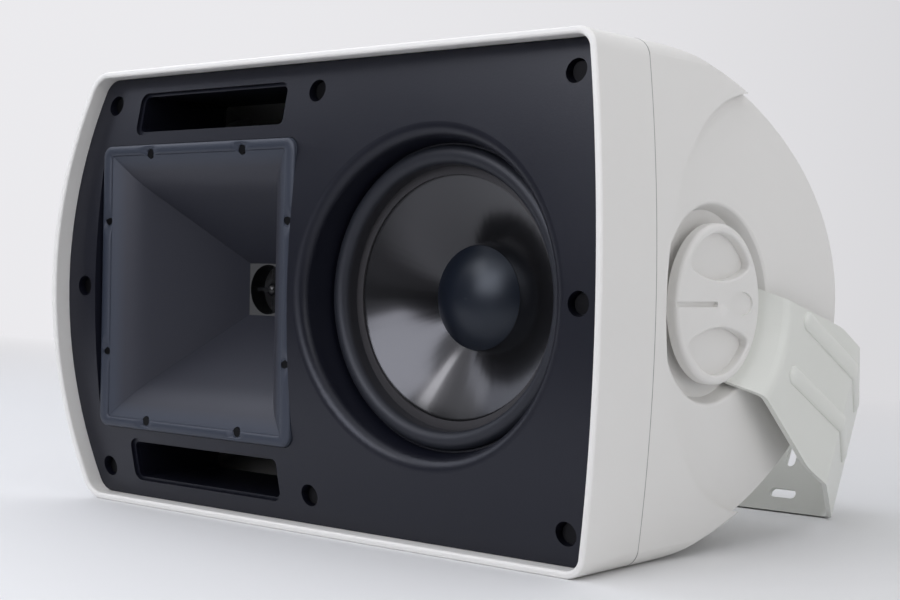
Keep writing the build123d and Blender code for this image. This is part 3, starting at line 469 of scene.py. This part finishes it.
class SPEAKER_OT_front(bpy.types.Operator):
    """Finish the black front: baffle, port ducts, gaskets and screws"""

    bl_idname = "speaker.front"
    bl_label = "Front"

    def execute(self, context):
        looks = context.scene.speaker_looks
        black = moulded("baffle_black", looks.baffle_color, 0.36, 0.0005, 0.00003, 0.1)
        black.set("Specular IOR Level", 0.44)
        black.set("Specular Tint", (0.88, 0.90, 1.0, 1.0))
        dress(black, "front_baffle", "port_duct_upper", "port_duct_lower", "driver_cover", "terminal_plate",
              "terminal_cap_black")
        foam = moulded("foam", looks.rubber_color, 0.85, 0.0006, 0.0002)
        dress(foam, "baffle_gasket", "woofer_gasket", "terminal_gasket")
        screw = metal("screw_black", SCREW_COLOR, 0.42)
        dress(screw, "baffle_screws", "horn_screws")
        return {"FINISHED"}


class SPEAKER_OT_horn(bpy.types.Operator):
    """Finish the horn and its phase plug"""

    bl_idname = "speaker.horn"
    bl_label = "Horn"

    def execute(self, context):
        looks = context.scene.speaker_looks
        horn = moulded("horn_grey", looks.horn_color, 0.45, 0.0005, 0.00002, 0.08)
        horn.set("Specular Tint", (0.91, 0.92, 1.0, 1.0))
        depth = horn.axis("Y")
        # Painted sheen: the flange's band is tinted bluer and lighter
        horn.tint(horn.between(depth, FLANGE_Y + 0.004, FLANGE_Y + 0.001), looks.flange_sheen_color)
        horn.tint(horn.between(depth, THROAT_Y - 0.0003, THROAT_Y - 0.0001), PLATE_COLOR)
        # Painted shade: the deep throat behind the end plate is painted near black
        horn.tint(horn.between(depth, THROAT_Y + 0.0002, THROAT_Y + 0.0006), THROAT_SHADE_COLOR)
        dress(horn, "horn")
        add_piece("horn_bead", "cabinet", *bead_surface(), horn, "horn_plastic")
        plug = moulded("plug_black", PLUG_COLOR, 0.25, 0.0005, 0.00001)
        dress(plug, "phase_plug")
        return {"FINISHED"}


class SPEAKER_OT_woofer(bpy.types.Operator):
    """Finish the woofer's cone, cap, surround and what lies behind them"""

    bl_idname = "speaker.woofer"
    bl_label = "Woofer"

    def execute(self, context):
        looks = context.scene.speaker_looks
        cone = moulded("cone_gloss", looks.cone_color, 0.17, 0.004, 0.00002, 0.02)
        cone.set("Specular IOR Level", 0.75)
        cone.set("Specular Tint", (0.93, 0.93, 1.0, 1.0))
        cone.bump(streaks(cone, WOOFER, 4.0), 0.00012)
        dress(cone, "woofer_cone")
        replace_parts(add_piece("flared_cone", "cone_body", *cone_surface(), cone, "cone"), "woofer_cone")
        cap = moulded("cap_satin", CAP_COLOR, 0.36, 0.0005, 0.00001)
        cap.set("Specular IOR Level", 0.47)
        cap.set("Specular Tint", (0.85, 0.91, 1.0, 1.0))
        dress(cap, "woofer_dust_cap")
        rubber = moulded("rubber", looks.rubber_color, 0.48, 0.0006, 0.00003)
        rubber.set("Specular Tint", (0.90, 0.91, 1.0, 1.0))
        rubber.tint(rubber.between(rubber.ring(WOOFER), *SEAT_RING), SEAT_COLOR)
        dress(rubber, "woofer_surround")
        dress_plastics(WOOFER_PLASTICS)
        dress_metals(WOOFER_METALS)
        return {"FINISHED"}


class SPEAKER_OT_bracket(bpy.types.Operator):
    """Finish the powder-coated bracket and the parts on its axis"""

    bl_idname = "speaker.bracket"
    bl_label = "Bracket"

    def execute(self, context):
        looks = context.scene.speaker_looks
        coat = moulded("bracket_coat", looks.bracket_color, 0.38, looks.coat_grain, 0.00004, 0.08)
        dress(coat, "mounting_bracket")
        dress_plastics(BRACKET_PLASTICS)
        dress_metals(BRACKET_METALS)
        return {"FINISHED"}


class SPEAKER_OT_terminals(bpy.types.Operator):
    """Finish the crossover and the coloured terminal cap"""

    bl_idname = "speaker.terminals"
    bl_label = "Terminals"

    def execute(self, context):
        dress_plastics(TERMINAL_PLASTICS)
        return {"FINISHED"}


def area_lamp(name, place, target, size, radiance, color):
    """A rectangular softbox that looks at a target."""
    data = bpy.data.lights.new(name, "AREA")
    data.shape = "RECTANGLE"
    data.size, data.size_y = size
    data.energy = np.pi * size[0] * size[1] * radiance
    data.color = color
    lamp = bpy.data.objects.new(name, data)
    way = np.array(target) - np.array(place)
    lamp.location = place
    lamp.rotation_euler = Euler((np.arctan2(np.hypot(way[0], way[1]), -way[2]), 0.0,
                                 np.arctan2(way[1], way[0]) - np.pi / 2))
    lamp.visible_camera = False
    bpy.context.scene.collection.objects.link(lamp)


def from_front(target, azimuth, elevation, reach):
    """The place seen from a target at an azimuth right of its front and an elevation, in degrees."""
    turn, rise = np.radians((azimuth, elevation))
    way = np.array((np.cos(rise) * np.sin(turn), -np.cos(rise) * np.cos(turn), np.sin(rise)))
    return tuple(np.array(target) + reach * way)


def share(value, band):
    """0 to 1 as a value goes from a band's start to its end, and level beyond them."""
    return np.clip((value - band[0]) / (band[1] - band[0]), 0.0, 1.0)


def backdrop_surface():
    """Round floor that turns up through a quarter circle into a wall: a profile turned about the vertical.

    Three values from 0 to 1 go with each point: how far it is on the way from the object to the wall behind
    and beside it, how far on the way out of the light in front, and how far round from left to back.
    """
    bend = np.linspace(0.0, np.pi / 2, 24)[1:]
    flat = np.linspace(0.02, FLOOR_REACH, 80)
    reach = np.concatenate((flat, FLOOR_REACH + COVE_RADIUS * np.sin(bend), [FLOOR_REACH + COVE_RADIUS]))
    height = np.concatenate((np.zeros(len(flat)), COVE_RADIUS - COVE_RADIUS * np.cos(bend), [WALL_TOP]))
    reach, height = reach[:, None], height[:, None]
    turn = np.linspace(0.0, 2 * np.pi, 288, endpoint=False)
    x, y, z = np.broadcast_arrays(reach * np.cos(turn), reach * np.sin(turn), height)
    behind = share(y / reach, BEHIND_BAND)
    far = np.maximum(share(y, FAR_BAND), share(reach, SIDE_BAND) * behind)
    front_shade = share(y, FRONT_SHADE_BAND) * (1.0 - behind)
    across = share(np.degrees(np.arctan2(-x, y)), GLOW_SHADE_ARC) ** 2
    faces = wrap_faces(*x.shape)[:-len(turn)].tolist()
    faces.append(list(range(len(turn))))
    values = {"far": far.ravel(), "front_shade": front_shade.ravel(), "across": across.ravel()}
    return np.stack([x, y, z], -1).reshape(-1, 3), faces, values


def backdrop_paper(color, glow):
    """Matt paper with painted shade far out in front; its far part glows with a tone to camera and
    reflections, with painted shade from left towards the back.
    """
    paint = Paint("paper", color, 0.75)
    # Painted shade on the floor far out in front
    paint.tint(paint.node("ShaderNodeAttribute", {"attribute_name": "front_shade"}).outputs["Fac"], FRONT_SHADE_COLOR)
    path = paint.node("ShaderNodeLightPath")
    seen = Wire(paint, path.outputs["Is Camera Ray"]).math("MAXIMUM", path.outputs["Is Glossy Ray"])
    seen = seen.math("MAXIMUM", path.outputs["Is Transmission Ray"])
    far = Wire(paint, paint.node("ShaderNodeAttribute", {"attribute_name": "far"}).outputs["Fac"])
    across = paint.node("ShaderNodeAttribute", {"attribute_name": "across"}).outputs["Fac"]
    # Painted shade: the glow's tone drops from left towards the back
    tone = paint.blend(across, (*glow, 1.0), (*[GLOW_SHADE_DROP * c for c in glow], 1.0))
    even = paint.node("ShaderNodeEmission", {}, Color=tone)
    blend = paint.node("ShaderNodeMixShader")
    paint.feed(blend.inputs[0], seen * far)
    paint.feed(blend.inputs[1], paint.shader.outputs[0])
    paint.feed(blend.inputs[2], even.outputs[0])
    paint.feed(paint.output.inputs["Surface"], blend.outputs[0])
    return paint


class SPEAKER_OT_stage(bpy.types.Operator):
    """Add the floor, the lamps and the camera"""

    bl_idname = "speaker.stage"
    bl_label = "Stage"

    def execute(self, context):
        scene = context.scene
        stage = scene.speaker_stage
        scene.view_settings.view_transform = "Standard"
        verts, faces, values = backdrop_surface()
        mesh = bpy.data.meshes.new("floor")
        mesh.from_pydata(verts.tolist(), [], faces)
        mesh.shade_smooth()
        for name, value in values.items():
            mesh.attributes.new(name, "FLOAT", "POINT").data.foreach_set("value", value)
        mesh.materials.append(backdrop_paper(stage.floor_color, stage.wall_glow).material)
        floor = bpy.data.objects.new("floor", mesh)
        scene.collection.objects.link(floor)
        world = bpy.data.worlds.new("studio")
        world.use_nodes = True
        world.node_tree.nodes["Background"].inputs["Color"].default_value = (0.95, 0.97, 1.0, 1.0)
        world.node_tree.nodes["Background"].inputs["Strength"].default_value = stage.sky
        scene.world = world
        place, target, size, color = CEILING
        area_lamp("ceiling", place, target, size, stage.ceiling, color)
        for name, azimuth, elevation, reach, size, color in SOFTBOXES:
            place = from_front(AIM, azimuth, elevation, reach)
            area_lamp(name, place, AIM, size, getattr(stage, name), color)
        data = bpy.data.cameras.new("camera")
        data.sensor_width = 36.0
        data.lens = stage.lens
        data.clip_start = 0.01
        camera = bpy.data.objects.new("camera", data)
        camera.location = stage.camera_place
        camera.rotation_euler = Euler(stage.camera_turn)
        scene.collection.objects.link(camera)
        scene.camera = camera
        return {"FINISHED"}


class SPEAKER_PT_panel(bpy.types.Panel):
    """Lists the steps of the speaker's looks"""

    bl_idname = "SPEAKER_PT_panel"
    bl_label = "Patio speaker"
    bl_space_type = "VIEW_3D"
    bl_region_type = "UI"
    bl_category = "Speaker"

    def draw(self, context):
        for step in STEPS:
            self.layout.operator(step.bl_idname)


STEPS = (SPEAKER_OT_case, SPEAKER_OT_front, SPEAKER_OT_horn, SPEAKER_OT_woofer, SPEAKER_OT_bracket,
         SPEAKER_OT_terminals, SPEAKER_OT_stage)
CLASSES = (SpeakerLooks, SpeakerStage, *STEPS, SPEAKER_PT_panel)


def register():
    for kind in CLASSES:
        bpy.utils.register_class(kind)
    bpy.types.Scene.speaker_looks = bpy.props.PointerProperty(type=SpeakerLooks)
    bpy.types.Scene.speaker_stage = bpy.props.PointerProperty(type=SpeakerStage)


def unregister():
    del bpy.types.Scene.speaker_stage
    del bpy.types.Scene.speaker_looks
    for kind in reversed(CLASSES):
        bpy.utils.unregister_class(kind)


def main():
    register()
    for step in STEPS:
        group, name = step.bl_idname.split(".")
        getattr(getattr(bpy.ops, group), name)()


if __name__ == "__main__":
    main()
